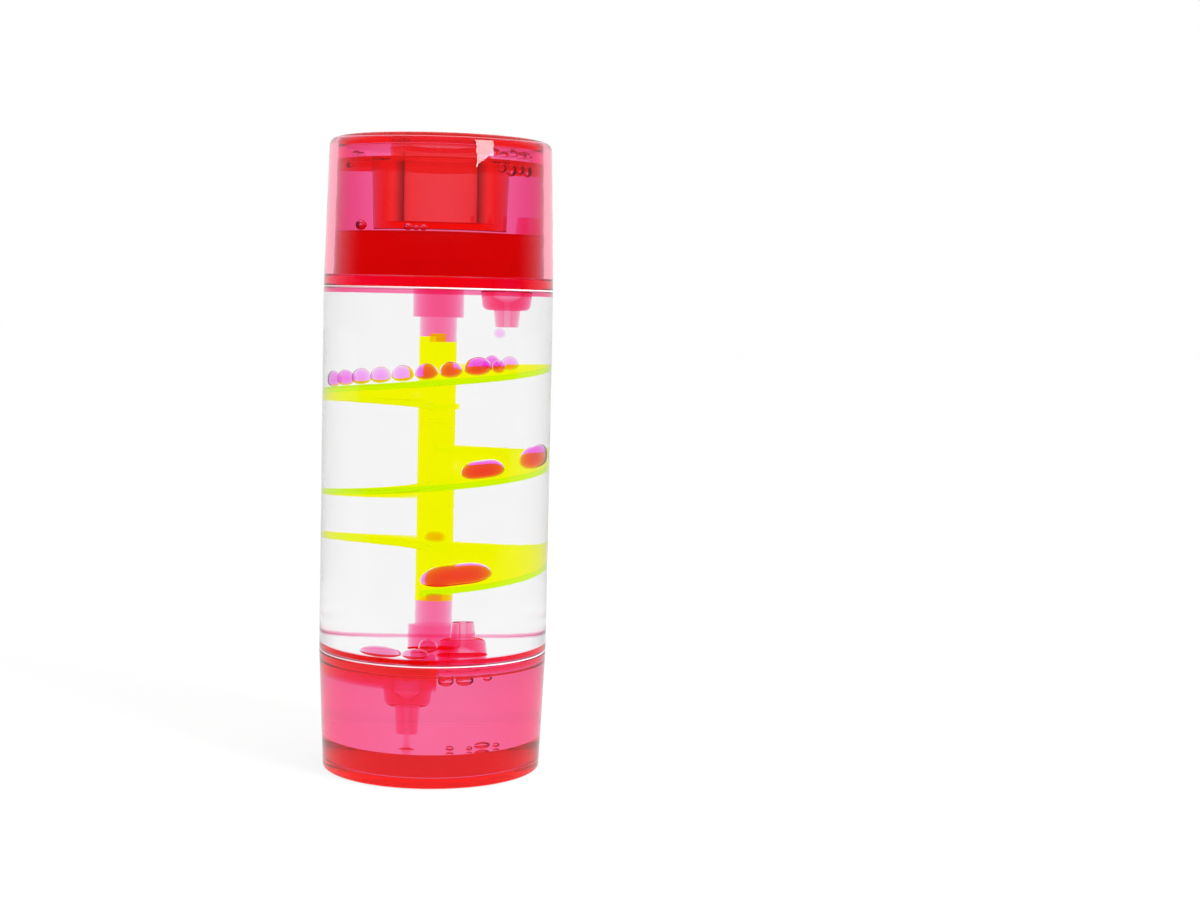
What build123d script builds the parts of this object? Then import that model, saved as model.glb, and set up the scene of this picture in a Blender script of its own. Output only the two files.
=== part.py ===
"""Liquid motion timer: a sealed clear tube between two red end chambers.

Coloured oil drips from the upper chamber, runs down three yellow spiral ramps
and drains into the lower chamber. The timer is turned over to start again.

The origin is the centre of the foot, +Z is up and -Y is the side that faces
the viewer. All sizes are in millimetres and all turns are in degrees.
"""

import os
from math import cos, pi, radians, sin

from build123d import *

# Overall sizes
body_radius = 25.5
base_height = 26.5
chamber_height = 81.0
cap_height = 32.5

# Walls of the tube and of the red shells
tube_wall = 2.0
foot_draft = 1.1
base_wall = 2.2
base_floor = 2.0
foot_edge = 1.0
cap_draft = 0.9
cap_wall = 1.7
cap_plate = 1.0
cap_edge = 1.8
cap_gap = 0.35

# Inner cup of the upper chamber and its stopper
cup_wall = 1.5
cup_plate = 1.0
plug_radius = 11.2
plug_tip_radius = 10.8
plug_bore_radius = 8.1
plug_floor = 1.5

# Partition moulding, the same at both ends apart from its spigot or socket
flange_inset = 1.2
plate_thickness = 2.2
ring_wall = 2.6
ring_height = 1.4
sump_wall = 1.4
sump_depth = 4.0
sump_floor = 1.6
sump_edge = 0.8
boss_radius = 4.15
boss_height = 6.4
sleeve_height = 5.4

# Nozzles, pressed into the partitions
inward_inset = 9.6
outward_inset = 5.2
nozzle_stem_radius = 3.3
bell_radius = 4.75
bell_shoulder = 1.3
bell_draft = 0.3
bell_wall = 1.5
hollow_radius = 2.6
tip_radius = 2.4
tip_end_radius = 2.1
nozzle_bore_radius = 0.65
inward_bell = 4.6
inward_tip = 3.7
outward_bell = 4.1
outward_tip = 6.1
inward_turn = -64.0
outward_turn = -108.5
drip_turn = -18.0

# Spiral pieces, stacked on spigots
column_radius = 3.05
spigot_radius = 1.35
spigot_length = 1.8
key_height = 1.1
key_turn = 165.0
key_offset = 0.9
ramp_lead = 12.8
ramp_sweep = 277.0
ramp_thickness = 1.3
ramp_drop = 4.6
ramp_start = 0.0
module_turn = 90.0
module_count = 3

# Oil levels above the face or floor that carries the oil
upper_oil_depth = 9.6
lower_oil_depth = 5.2
film_depth = 1.0
stream_radius = 0.75

# Clearances
fit = 0.05
ramp_clearance = 0.4
drop_clearance = 0.15
tip_clearance = 0.1
end_clearance = 0.2
sump_clearance = 0.2
plug_clearance = 0.5

# Drops on the ramps: length along the ramp, width across it and height; inset from the bore and turn
bead_size = (4.65, 4.0, 3.5)
bead_inset = 2.9
bead_first = -163.5
bead_pitch = 13.55
bead_count = 7
loose_beads = (
    ((5.9, 4.6, 4.0), (2.9, -66.5)),
    ((2.9, 2.8, 2.9), (4.0, -51.8)),
    ((3.4, 3.2, 3.2), (10.9, -38.0)),
    ((4.2, 3.6, 3.0), (6.5, -36.8)),
)
middle_drop_size = (9.6, 5.2, 4.0)
middle_drop_place = (3.5, -61.6)
side_drop_size = (10.5, 5.4, 5.0)
side_drop_place = (3.6, -17.0)
lower_drop_size = (15.0, 5.2, 4.6)
lower_drop_place = (3.0, -77.0)
rear_drop_size = (2.7, 2.6, 2.4)
rear_drop_place = (5.5, 90.4)
hanging_radius = 1.1
hanging_length = 2.4

# Levels that follow from the sizes above
lower_joint = base_height
upper_joint = lower_joint + chamber_height
overall_height = upper_joint + cap_height
tube_bore = body_radius - tube_wall
foot_radius = body_radius - foot_draft
cap_top_radius = body_radius - cap_draft
flange_radius = body_radius - flange_inset
column_bottom = lower_joint + boss_height + sleeve_height
column_top = upper_joint - boss_height - sleeve_height
module_height = (column_top - column_bottom) / module_count
cap_back = upper_joint + plate_thickness
cup_top = overall_height - cap_plate - end_clearance
upper_spin = -drip_turn - inward_turn
upper_oil_top = cap_back + upper_oil_depth


def shell_radius(low_radius: float, high_radius: float, height: float, level: float) -> float:
    """Outer radius of a tapered shell at a level above its low end."""
    return low_radius + (high_radius - low_radius) * level / height


def cap_radius(z: float) -> float:
    """Outer radius of the top cap at a level of the timer."""
    return shell_radius(body_radius, cap_top_radius, cap_height, z - upper_joint)


def base_radius(z: float) -> float:
    """Outer radius of the base cup at a level of the timer."""
    return shell_radius(foot_radius, body_radius, base_height, z)


def cup_radius(z: float) -> float:
    """Outer radius of the inner cup, which follows the inside of the cap."""
    return cap_radius(z) - cap_wall - cap_gap


def cup_bore(z: float) -> float:
    """Inner radius of the inner cup at a level of the timer."""
    return cup_radius(z) - cup_wall


def place_on_circle(radius: float, turn: float, z: float = 0.0) -> tuple[float, float, float]:
    """Point at a radius and a turn about the axis of the timer."""
    return (radius * cos(radians(turn)), radius * sin(radians(turn)), z)


def module_start(index: int) -> float:
    """Turn at which a module's ramp starts; each module is a quarter turn on."""
    return ramp_start + module_turn * index


def ramp_level(index: int, turn: float) -> float:
    """Level of a ramp's upper face at a turn about the axis."""
    top = column_top - index * module_height
    return top - ramp_drop - ramp_lead * (module_start(index) - turn) / 360


def finish(piece: BuildPart, name: str) -> None:
    """Name a finished piece and write it."""
    piece.part.label = name
    export_step(piece.part, f"parts/{name}.step")


os.makedirs("parts", exist_ok=True)

# Base cup: a drafted cup with a step in its rim that seats the partition
ledge = lower_joint - plate_thickness
with BuildPart() as base_cup:
    with BuildSketch(Plane.XZ):
        with BuildLine():
            Polyline(
                (0, 0),
                (foot_radius, 0),
                (body_radius, base_height),
                (flange_radius + fit, base_height),
                (flange_radius + fit, ledge),
                (base_radius(ledge) - base_wall, ledge),
                (base_radius(base_floor) - base_wall, base_floor),
                (0, base_floor),
                close=True,
            )
        make_face()
    revolve(axis=Axis.Z)
    fillet(base_cup.edges().group_by(Axis.Z)[0], foot_edge)
finish(base_cup, "base_cup")

# Clear tube, standing between the two partitions and the shells' rims
with BuildPart() as tube:
    with BuildSketch(Plane.XY.offset(lower_joint)):
        Circle(body_radius)
        Circle(tube_bore, mode=Mode.SUBTRACT)
    extrude(amount=chamber_height)
finish(tube, "tube")


# The sump clears the inner cup, which stands round it on the upper partition
sump_radius = cup_bore(upper_joint + sump_depth + sump_floor) - sump_clearance
ring_radius = tube_bore - ramp_clearance / 2
ring_bore = ring_radius - ring_wall
inward_circle = ring_bore - inward_inset
outward_circle = sump_radius - sump_wall - outward_inset


def half_disc(radius: float, edge: float) -> None:
    """Draw the part of a disc on the sump's side of a straight edge."""
    Circle(radius)
    with Locations((edge, 0)):
        Rectangle(2 * radius, 2 * radius, align=(Align.MIN, Align.CENTER), mode=Mode.SUBTRACT)


def key_segment(direction: float, margin: float = 0.0) -> None:
    """Draw the segment of the post's end that stands up as a key, with a margin for its notch."""
    size = 2 * (column_radius + margin)
    Circle(column_radius + margin)
    with Locations(place_on_circle(key_offset - margin, direction)[:2]):
        Rectangle(size, size, rotation=direction, align=(Align.MAX, Align.CENTER), mode=Mode.SUBTRACT)


def partition_moulding(has_spigot: bool, key_direction: float) -> BuildPart:
    """Plate, locating ring, sump and post, with the chamber's face at level 0 and the chamber above it."""
    post_top = boss_height + sleeve_height
    with BuildPart() as moulding:
        with BuildSketch():
            Circle(flange_radius)
        extrude(amount=-plate_thickness)
        with BuildSketch():
            Circle(ring_radius)
            Circle(ring_bore, mode=Mode.SUBTRACT)
        extrude(amount=ring_height)
        with BuildSketch():
            half_disc(sump_radius, sump_edge)
        extrude(amount=-(sump_depth + sump_floor))
        with BuildSketch():
            half_disc(sump_radius - sump_wall, sump_edge - sump_wall)
        extrude(amount=-sump_depth, mode=Mode.SUBTRACT)
        with BuildSketch(Plane.XY.offset(-sump_depth)):
            Circle(boss_radius)
        extrude(amount=sump_depth + boss_height)
        with BuildSketch(Plane.XY.offset(boss_height)):
            Circle(column_radius)
        extrude(amount=sleeve_height)
        if has_spigot:
            with BuildSketch(Plane.XY.offset(post_top)):
                Circle(spigot_radius)
            extrude(amount=spigot_length)
            with BuildSketch(Plane.XY.offset(post_top)):
                key_segment(key_direction)
            extrude(amount=key_height)
        else:
            with BuildSketch(Plane.XY.offset(post_top)):
                Circle(spigot_radius + fit)
            extrude(amount=-(spigot_length + end_clearance), mode=Mode.SUBTRACT)
            with BuildSketch(Plane.XY.offset(post_top)):
                key_segment(key_direction, fit)
            extrude(amount=-(key_height + fit), mode=Mode.SUBTRACT)
        with BuildSketch():
            with Locations(place_on_circle(inward_circle, inward_turn)[:2]):
                Circle(nozzle_stem_radius + fit)
        extrude(amount=-plate_thickness, mode=Mode.SUBTRACT)
        with BuildSketch(Plane.XY.offset(-sump_depth)):
            with Locations(place_on_circle(outward_circle, outward_turn)[:2]):
                Circle(nozzle_stem_radius + fit)
        extrude(amount=-sump_floor, mode=Mode.SUBTRACT)
    return moulding


# The upper partition is turned over about X, which also mirrors its turns
lower_moulding = partition_moulding(True, module_start(module_count) + key_turn)
upper_moulding = partition_moulding(False, -module_start(0) - key_turn - upper_spin)
lower_place = Location((0, 0, lower_joint))
upper_place = Location((0, 0, upper_joint), (180, 0, upper_spin))
with BuildPart() as lower_partition:
    with Locations(lower_place):
        add(lower_moulding.part)
finish(lower_partition, "lower_partition")
with BuildPart() as upper_partition:
    with Locations(upper_place):
        add(upper_moulding.part)
finish(upper_partition, "upper_partition")


def nozzle(bell_height: float, tip_length: float, stem_length: float) -> BuildPart:
    """Hollow bell with a tapered tip, pointing up from level 0, and a stem below that is pressed in."""
    tip_top = bell_height + tip_length
    throat = bell_height - bell_wall
    with BuildPart() as piece:
        with BuildSketch(Plane.XZ):
            with BuildLine():
                Polyline(
                    (hollow_radius, -stem_length),
                    (nozzle_stem_radius, -stem_length),
                    (nozzle_stem_radius, 0),
                    (bell_radius, 0),
                    (bell_radius - bell_draft, bell_height - bell_shoulder),
                )
                RadiusArc(
                    (bell_radius - bell_draft, bell_height - bell_shoulder),
                    (bell_radius - bell_draft - bell_shoulder, bell_height),
                    -bell_shoulder,
                )
                Polyline(
                    (bell_radius - bell_draft - bell_shoulder, bell_height),
                    (tip_radius, bell_height),
                    (tip_end_radius, tip_top),
                    (nozzle_bore_radius, tip_top),
                    (nozzle_bore_radius, throat),
                    (hollow_radius, throat - bell_shoulder),
                    (hollow_radius, -stem_length),
                )
            make_face()
        revolve(axis=Axis.Z)
    return piece


inward_nozzle = nozzle(inward_bell, inward_tip, plate_thickness)
outward_nozzle = nozzle(outward_bell, outward_tip, sump_floor)
inward_seat = Location(place_on_circle(inward_circle, inward_turn))
outward_seat = Location(
    place_on_circle(outward_circle, outward_turn, -sump_depth - sump_floor), (180, 0, 0)
)
nozzle_pieces = (
    ("lower_vent_nozzle", inward_nozzle, lower_place * inward_seat),
    ("lower_drain_nozzle", outward_nozzle, lower_place * outward_seat),
    ("upper_drip_nozzle", inward_nozzle, upper_place * inward_seat),
    ("upper_vent_nozzle", outward_nozzle, upper_place * outward_seat),
)
nozzles = {}
for name, shape, place in nozzle_pieces:
    with BuildPart() as seated_nozzle:
        with Locations(place):
            add(shape.part)
    finish(seated_nozzle, name)
    nozzles[name] = seated_nozzle

# Inner cup of the upper chamber, upside down on the back of the partition
with BuildPart() as upper_cup:
    with BuildSketch(Plane.XZ):
        with BuildLine():
            Polyline(
                (cup_bore(cap_back), cap_back),
                (cup_radius(cap_back), cap_back),
                (cup_radius(cup_top), cup_top),
                (plug_radius + fit, cup_top),
                (plug_radius + fit, cup_top - cup_plate),
                (cup_bore(cup_top - cup_plate), cup_top - cup_plate),
                close=True,
            )
        make_face()
    revolve(axis=Axis.Z)
finish(upper_cup, "upper_cup")

# Hollow stopper, flush with the inner cup's end, its drafted body ending just over the oil
plug_bottom = upper_oil_top + plug_clearance
with BuildPart() as filler_plug:
    with BuildSketch(Plane.XZ):
        with BuildLine():
            Polyline(
                (0, plug_bottom),
                (plug_tip_radius, plug_bottom),
                (plug_radius, cup_top - cup_plate),
                (plug_radius, cup_top),
                (plug_bore_radius, cup_top),
                (plug_bore_radius, plug_bottom + plug_floor),
                (0, plug_bottom + plug_floor),
                close=True,
            )
        make_face()
    revolve(axis=Axis.Z)
finish(filler_plug, "filler_plug")

# Outer cap, with a step in its rim that seats the partition
with BuildPart() as top_cap:
    with BuildSketch(Plane.XZ):
        with BuildLine():
            Polyline(
                (flange_radius + fit, upper_joint),
                (body_radius, upper_joint),
                (cap_top_radius, overall_height),
                (0, overall_height),
                (0, overall_height - cap_plate),
                (cap_radius(overall_height - cap_plate) - cap_wall, overall_height - cap_plate),
                (cap_radius(cap_back) - cap_wall, cap_back),
                (flange_radius + fit, cap_back),
                close=True,
            )
        make_face()
    revolve(axis=Axis.Z)
    fillet(top_cap.edges().group_by(Axis.Z)[-1], cap_edge)
finish(top_cap, "top_cap")

# One spiral piece: a post with a spigot and key above, a socket and notch below, and a helical ramp
ramp_radius = tube_bore - ramp_clearance
ramp_low = module_height - ramp_drop - ramp_thickness - ramp_lead * ramp_sweep / 360
ramp_path_radius = (column_radius + ramp_radius) / 2
with BuildPart() as spiral:
    with BuildSketch():
        Circle(column_radius)
    extrude(amount=module_height)
    with BuildLine():
        helix = Helix(ramp_lead, ramp_lead * ramp_sweep / 360, ramp_path_radius, center=(0, 0, ramp_low))
    with BuildSketch(Plane.XZ):
        with Locations((column_radius / 2, ramp_low)):
            Rectangle(ramp_radius - column_radius / 2, ramp_thickness, align=(Align.MIN, Align.MIN))
    sweep(path=helix, is_frenet=True)
    with BuildSketch(Plane.XY.offset(module_height)):
        Circle(spigot_radius)
    extrude(amount=spigot_length)
    with BuildSketch(Plane.XY.offset(module_height)):
        key_segment(ramp_sweep + key_turn)
    extrude(amount=key_height)
    with BuildSketch():
        Circle(spigot_radius + fit)
    extrude(amount=spigot_length + end_clearance, mode=Mode.SUBTRACT)
    with BuildSketch():
        key_segment(ramp_sweep + key_turn + module_turn, fit)
    extrude(amount=key_height + fit, mode=Mode.SUBTRACT)

for index, name in enumerate(("spiral_upper", "spiral_middle", "spiral_lower")):
    level = column_top - (index + 1) * module_height
    with BuildPart() as spiral_piece:
        with Locations(Location((0, 0, level), (0, 0, module_start(index) - ramp_sweep))):
            add(spiral.part)
    finish(spiral_piece, name)

# Oil in the upper chamber, lying on the back of the partition; the nozzles' hollows hold none
standing = (Align.CENTER, Align.CENTER, Align.MIN)
with BuildPart() as upper_oil:
    with BuildSketch(Plane.XZ):
        with BuildLine():
            Polyline(
                (0, cap_back),
                (cup_bore(cap_back), cap_back),
                (cup_bore(upper_oil_top), upper_oil_top),
                (0, upper_oil_top),
                close=True,
            )
        make_face()
    revolve(axis=Axis.Z)
    with BuildSketch(Plane(upper_place)):
        half_disc(sump_radius, sump_edge)
    extrude(amount=-(sump_depth + sump_floor), mode=Mode.SUBTRACT)
    add(upper_partition.part, mode=Mode.SUBTRACT)
    add(nozzles["upper_vent_nozzle"].part, mode=Mode.SUBTRACT)
    with Locations(upper_place * outward_seat):
        Cylinder(hollow_radius, outward_bell - bell_wall, align=standing, mode=Mode.SUBTRACT)
        Cylinder(tip_end_radius, outward_bell + outward_tip, align=standing, mode=Mode.SUBTRACT)
finish(upper_oil, "upper_oil")

# Oil on the lower partition: the full sump and a film over the plate
with BuildPart() as partition_oil:
    with BuildSketch(Plane.XY.offset(lower_joint)):
        Circle(ring_bore)
    extrude(amount=film_depth)
    with BuildSketch(Plane.XY.offset(lower_joint)):
        half_disc(sump_radius - sump_wall, sump_edge - sump_wall)
    extrude(amount=-sump_depth)
    add(lower_partition.part, mode=Mode.SUBTRACT)
    add(nozzles["lower_vent_nozzle"].part, mode=Mode.SUBTRACT)
    with Locations(lower_place * inward_seat):
        Cylinder(hollow_radius, inward_bell, align=standing, mode=Mode.SUBTRACT)
finish(partition_oil, "partition_oil")

# Pool on the floor of the base cup, and the stream that feeds it
lower_oil_top = base_floor + lower_oil_depth
with BuildPart() as lower_oil:
    with BuildSketch(Plane.XZ):
        with BuildLine():
            Polyline(
                (0, base_floor),
                (base_radius(base_floor) - base_wall, base_floor),
                (base_radius(lower_oil_top) - base_wall, lower_oil_top),
                (0, lower_oil_top),
                close=True,
            )
        make_face()
    revolve(axis=Axis.Z)
finish(lower_oil, "lower_oil")

drain_end = lower_joint - sump_depth - sump_floor - outward_bell - outward_tip
with BuildPart() as drain_stream:
    with BuildSketch(Plane.XY.offset(lower_oil_top)):
        with Locations(place_on_circle(outward_circle, outward_turn)[:2]):
            Circle(stream_radius)
    extrude(amount=drain_end - lower_oil_top)
finish(drain_stream, "drain_stream")

# Drop that hangs under the drip nozzle, pointed above and round below
drip_end = upper_joint - inward_bell - inward_tip - tip_clearance
drip_place = place_on_circle(inward_circle, drip_turn, drip_end)
with BuildPart() as hanging_drop:
    with BuildSketch(Plane(origin=drip_place, x_dir=(1, 0, 0), z_dir=(0, -1, 0))):
        with BuildLine():
            RadiusArc((0, -hanging_length), (hanging_radius, hanging_radius - hanging_length), -hanging_radius)
            Polyline(
                (hanging_radius, hanging_radius - hanging_length),
                (nozzle_bore_radius, 0),
                (0, 0),
                (0, -hanging_length),
            )
        make_face()
    revolve(axis=Axis(drip_place, (0, 0, 1)))
finish(hanging_drop, "hanging_drop")


def ramp_seat(index: int, radius: float, turn: float, height: float) -> Plane:
    """Plane at the middle of a drop on a ramp: X runs uphill along the ramp and Z leaves its face."""
    rise = ramp_lead / (2 * pi * radius)
    uphill = Vector(-sin(radians(turn)), cos(radians(turn)), rise).normalized()
    outward = Vector(cos(radians(turn)), sin(radians(turn)), 0)
    centre = Vector(*place_on_circle(radius, turn, ramp_level(index, turn) + drop_clearance))
    lift = outward.cross(uphill)
    return Plane(origin=centre + lift * (height / 2), x_dir=uphill, z_dir=lift)


def drop_shape(size: tuple[float, float, float]) -> BuildPart:
    """Flattened round drop: length along X, width along Y and height along Z."""
    with BuildPart() as drop:
        Sphere(0.5)
        scale(by=size)
    return drop


row_places = [(bead_inset, bead_first + bead_pitch * step) for step in range(bead_count)]
beads = [(bead_size, place) for place in row_places] + list(loose_beads)
ramp_drops = [(f"bead_{number}", 0, size, place) for number, (size, place) in enumerate(beads, 1)]
ramp_drops += [
    ("middle_drop", 1, middle_drop_size, middle_drop_place),
    ("side_drop", 1, side_drop_size, side_drop_place),
    ("lower_drop", 2, lower_drop_size, lower_drop_place),
    ("rear_drop", 2, rear_drop_size, rear_drop_place),
]
for name, index, size, (inset, turn) in ramp_drops:
    shape = drop_shape(size)
    with BuildPart() as drop_piece:
        with Locations(ramp_seat(index, tube_bore - inset, turn, size[2])):
            add(shape.part)
    finish(drop_piece, name)
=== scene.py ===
"""Looks of a liquid motion timer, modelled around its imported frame.

Every size is in metres in the frame of the timer: the origin is the centre of
its foot, +Z is up and -Y is the side that faces the camera. Pieces that touch
the clear liquid overlap it slightly, so that light bends as it does where
plastic and liquid meet, with no film of air between them.
"""

from __future__ import annotations

import logging
import math
from collections.abc import Callable
from dataclasses import dataclass
from enum import Enum

import bmesh
import bpy
from mathutils import Euler, Matrix, Vector

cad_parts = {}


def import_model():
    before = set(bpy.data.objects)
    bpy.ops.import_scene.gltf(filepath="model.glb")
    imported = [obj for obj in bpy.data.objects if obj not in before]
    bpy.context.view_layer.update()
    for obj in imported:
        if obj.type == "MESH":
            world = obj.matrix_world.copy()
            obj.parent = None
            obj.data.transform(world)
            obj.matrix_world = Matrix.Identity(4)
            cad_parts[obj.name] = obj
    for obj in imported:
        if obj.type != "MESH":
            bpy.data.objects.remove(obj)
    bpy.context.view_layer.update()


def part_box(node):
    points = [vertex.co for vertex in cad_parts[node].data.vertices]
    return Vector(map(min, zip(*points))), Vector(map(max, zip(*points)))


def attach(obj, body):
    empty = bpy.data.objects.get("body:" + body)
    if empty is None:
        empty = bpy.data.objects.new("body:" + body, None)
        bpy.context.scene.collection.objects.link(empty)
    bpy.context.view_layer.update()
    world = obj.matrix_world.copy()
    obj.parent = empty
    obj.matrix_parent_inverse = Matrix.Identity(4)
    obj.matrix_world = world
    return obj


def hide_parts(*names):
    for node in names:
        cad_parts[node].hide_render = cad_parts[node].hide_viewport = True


LOG = logging.getLogger("timer")
MM = 0.001
HOUSING = "housing"
RIPPLE_SCALE = 160.0
# Where the painted glow on the yellow's outer edge begins, how far it fades in and how far it leans to the
# front.
RIM_START = 22.85 * MM
RIM_FADE = 0.2 * MM
RIM_LEAN = 0.25 * MM
WHITE = (1.0, 1.0, 1.0)
Triple = tuple[float, float, float]
Colour = Triple
Ring = tuple[float, float]
Outline = list[Ring]
Piece = bpy.types.Object
Socket = bpy.types.NodeSocket
Outputs = bpy.types.bpy_prop_collection


class Ends(Enum):
    """How the two ends of a turned outline are closed."""

    DISCS = "discs"
    JOINED = "joined"


class Joinery(Enum):
    """How one solid is worked into another."""

    ADD = "UNION"
    CUT = "DIFFERENCE"
    SHARE = "INTERSECT"


class Graph:
    """The nodes of one material or world."""

    def __init__(self, tree: bpy.types.NodeTree) -> None:
        """Take the node tree that gets the nodes."""
        self.tree = tree

    def fill(self, node: bpy.types.Node, values: dict) -> None:
        """Set or link inputs of a node.

        Args:
            node: The node.
            values: Plain value or source socket of each input, by name or number.
        """
        for key, value in values.items():
            if isinstance(value, Socket):
                self.tree.links.new(value, node.inputs[key])
            else:
                node.inputs[key].default_value = value

    def add(self, kind: str, values: dict, **settings: str | bool) -> Outputs:
        """Add a node.

        Args:
            kind: Type of the node, without the prefix that all types share.
            values: Plain value or source socket of each input, by name or number.
            settings: Properties of the node, such as its operation.

        Returns:
            The outputs of the new node.
        """
        node = self.tree.nodes.new(f"ShaderNode{kind}")
        for key, setting in settings.items():
            setattr(node, key, setting)
        self.fill(node, values)
        return node.outputs

    def noise(self, scale: float) -> Socket:
        """Add noise that is fixed to the piece, with so many waves for each metre."""
        place = self.add("TexCoord", {})["Object"]
        return self.add("TexNoise", {"Scale": scale, "Detail": 2.0, "Vector": place})["Fac"]

    def clouds(self, noise: Socket, dark: Colour, pale: Colour) -> Socket:
        """Run from one colour to another as the noise rises.

        Args:
            noise: Socket of the noise.
            dark: Colour where the noise is low.
            pale: Colour where the noise is high.

        Returns:
            Socket of the colour.
        """
        node = self.tree.nodes.new("ShaderNodeValToRGB")
        self.fill(node, {"Fac": noise})
        for stop, colour in zip(node.color_ramp.elements, (dark, pale)):
            stop.color = (*colour, 1.0)
        return node.outputs["Color"]

    def fade(self, value: Socket, span: Ring, levels: Ring) -> Socket:
        """Fade from one level to another while a value runs through a span."""
        ends = {"From Min": span[0], "From Max": span[1], "To Min": levels[0], "To Max": levels[1]}
        return self.add("MapRange", {"Value": value, **ends})[0]

    def math(self, operation: str, first: Socket, second: Socket) -> Socket:
        """Work out one value, kept between 0 and 1, from two sockets."""
        return self.add("Math", {0: first, 1: second}, operation=operation, use_clamp=True)[0]

    def mix(self, share: Socket, first: Socket, second: Socket) -> Socket:
        """Mix two shaders by the share of the second one."""
        return self.add("MixShader", {"Fac": share, 1: first, 2: second})[0]

    def parts(self, space: str) -> Outputs:
        """Split a place or direction in a space into its X, Y and Z sockets."""
        return self.add("SeparateXYZ", {0: self.add("TexCoord", {})[space]})

    def mirrored(self, path: Outputs) -> Socket:
        """Tell the rays that a surface has mirrored from all others, by their light path."""
        return self.math("MULTIPLY", path["Glossy Depth"], path["Is Glossy Ray"])


def new_material(name: str) -> tuple[bpy.types.Material, Graph]:
    """Start a material.

    Args:
        name: Name of the material.

    Returns:
        The material and its nodes.
    """
    material = bpy.data.materials.new(name)
    material.use_nodes = True
    return material, Graph(material.node_tree)


@dataclass(frozen=True)
class ClearFinish:
    """A see-through finish whose colour comes from what its depth absorbs.

    Attributes:
        name: Name of the material.
        ior: Refraction against what surrounds the piece.
        kept: Share of red, green and blue that the absorber leaves alone.
        density: Absorption for each metre of the colour that is kept least.
        gloss: Share of the plain mirror reflection that is kept.
        ripple: Strength of the faint unevenness of the surface.
        haze: Share of light that is lost where the material is cloudy.
        milk: Share of light that the material scatters instead of passing.
        rim: Share of red, green and blue that passes at the outer edge, where that differs; it paints a
            glow into the colour there.
    """

    name: str
    ior: float
    kept: Colour
    density: float
    gloss: float = 1.0
    ripple: float = 0.0
    haze: float = 0.02
    milk: float = 0.0
    rim: Colour | None = None

    def material(self) -> bpy.types.Material:
        """Build the material.

        Returns:
            The new material, with its surface, ripple and absorption.
        """
        material, graph = new_material(self.name)
        absorber = graph.add("VolumeAbsorption", {"Color": (*self.kept, 1.0), "Density": self.density})
        graph.fill(graph.tree.nodes["Material Output"], {"Volume": absorber["Volume"]})
        noise = graph.noise(RIPPLE_SCALE)
        kept = 1 - self.haze
        colour = graph.clouds(noise, (kept, kept, kept), WHITE)
        surface = {
            "Transmission Weight": 1.0 - self.milk,
            "IOR": self.ior,
            "Roughness": 0.0,
            "Specular Tint": (self.gloss, self.gloss, self.gloss, 1.0),
            "Base Color": self._paint_rim_glow(graph, colour) if self.rim else colour,
        }
        if self.ripple > 0:
            bump = graph.add("Bump", {"Strength": self.ripple, "Distance": MM, "Height": noise})
            surface["Normal"] = bump["Normal"]
        graph.fill(graph.tree.nodes["Principled BSDF"], surface)
        return material

    def _paint_rim_glow(self, graph: Graph, colour: Socket) -> Socket:
        """Paint a glow into the colour of the outer edge, most of all at the front: painted light for the
        glow that gathers at the yellow's edge.

        Args:
            graph: Nodes of the material.
            colour: Socket of the colour so far.

        Returns:
            Socket of the colour with the painted glow.
        """
        place = graph.add("TexCoord", {})["Object"]
        lean = {0: place, 1: (1.0, 1.0, 0.0), 2: (0.0, -RIM_LEAN, 0.0)}
        flat = graph.add("VectorMath", lean, operation="MULTIPLY_ADD")["Vector"]
        reach = graph.add("VectorMath", {0: flat}, operation="LENGTH")["Value"]
        # Mask of the painted glow: the outer edge, leaning to the front.
        edge = graph.fade(reach, (RIM_START, RIM_START + RIM_FADE), (0.0, 1.0))
        tint = {"Factor": edge, 6: colour, 7: (*self.rim, 1.0)}
        return graph.add("Mix", tint, data_type="RGBA", blend_type="MULTIPLY")[2]


@dataclass(frozen=True)
class MattFinish:
    """A plain opaque finish with slight cloudiness.

    Attributes:
        name: Name of the material.
        dark: Colour of its darker places.
        pale: Colour of its paler places.
        roughness: Surface roughness.
        scale: Clouds for each metre.
    """

    name: str
    dark: Colour
    pale: Colour
    roughness: float
    scale: float

    def material(self) -> bpy.types.Material:
        """Build the material.

        Returns:
            The new material.
        """
        material, graph = new_material(self.name)
        colour = graph.clouds(graph.noise(self.scale), self.dark, self.pale)
        surface = {"Roughness": self.roughness, "Base Color": colour}
        graph.fill(graph.tree.nodes["Principled BSDF"], surface)
        return material


# Pale matt rings at the tube's two joints: a painted highlight where the tube's ends catch the light.
PAINTED_HIGHLIGHT_FINISH = MattFinish("painted_joint_highlight", (0.92, 0.6, 0.64), (0.99, 0.84, 0.86), 0.5, 260.0)
TUBE_FINISH = ClearFinish("clear_tube", 1.49, (0.1, 0.1, 0.16), 3.0, gloss=0.15, ripple=0.02)
SHELL_FINISH = ClearFinish("red_shell", 1.49, (1.0, 0.0, 0.44), 430.0, gloss=0.6, ripple=0.03)
PALE_FINISH = ClearFinish("pale_shell", 1.3, (1.0, 0.0, 0.3), 195.0, ripple=0.03)
INNER_FINISH = ClearFinish("red_inner", 1.12, (1.0, 0.0, 0.58), 385.0, gloss=0.1, ripple=0.03)
PLUG_FINISH = ClearFinish("red_plug", 1.49, (1.0, 0.3, 0.0), 320.0, gloss=0.1, ripple=0.03)
WET_RED_FINISH = ClearFinish("red_immersed", 1.004, (1.0, 0.0, 0.455), 280.0)
NOZZLE_FINISH = ClearFinish("red_nozzle", 1.02, (1.0, 0.0, 0.4), 340.0)
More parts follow.
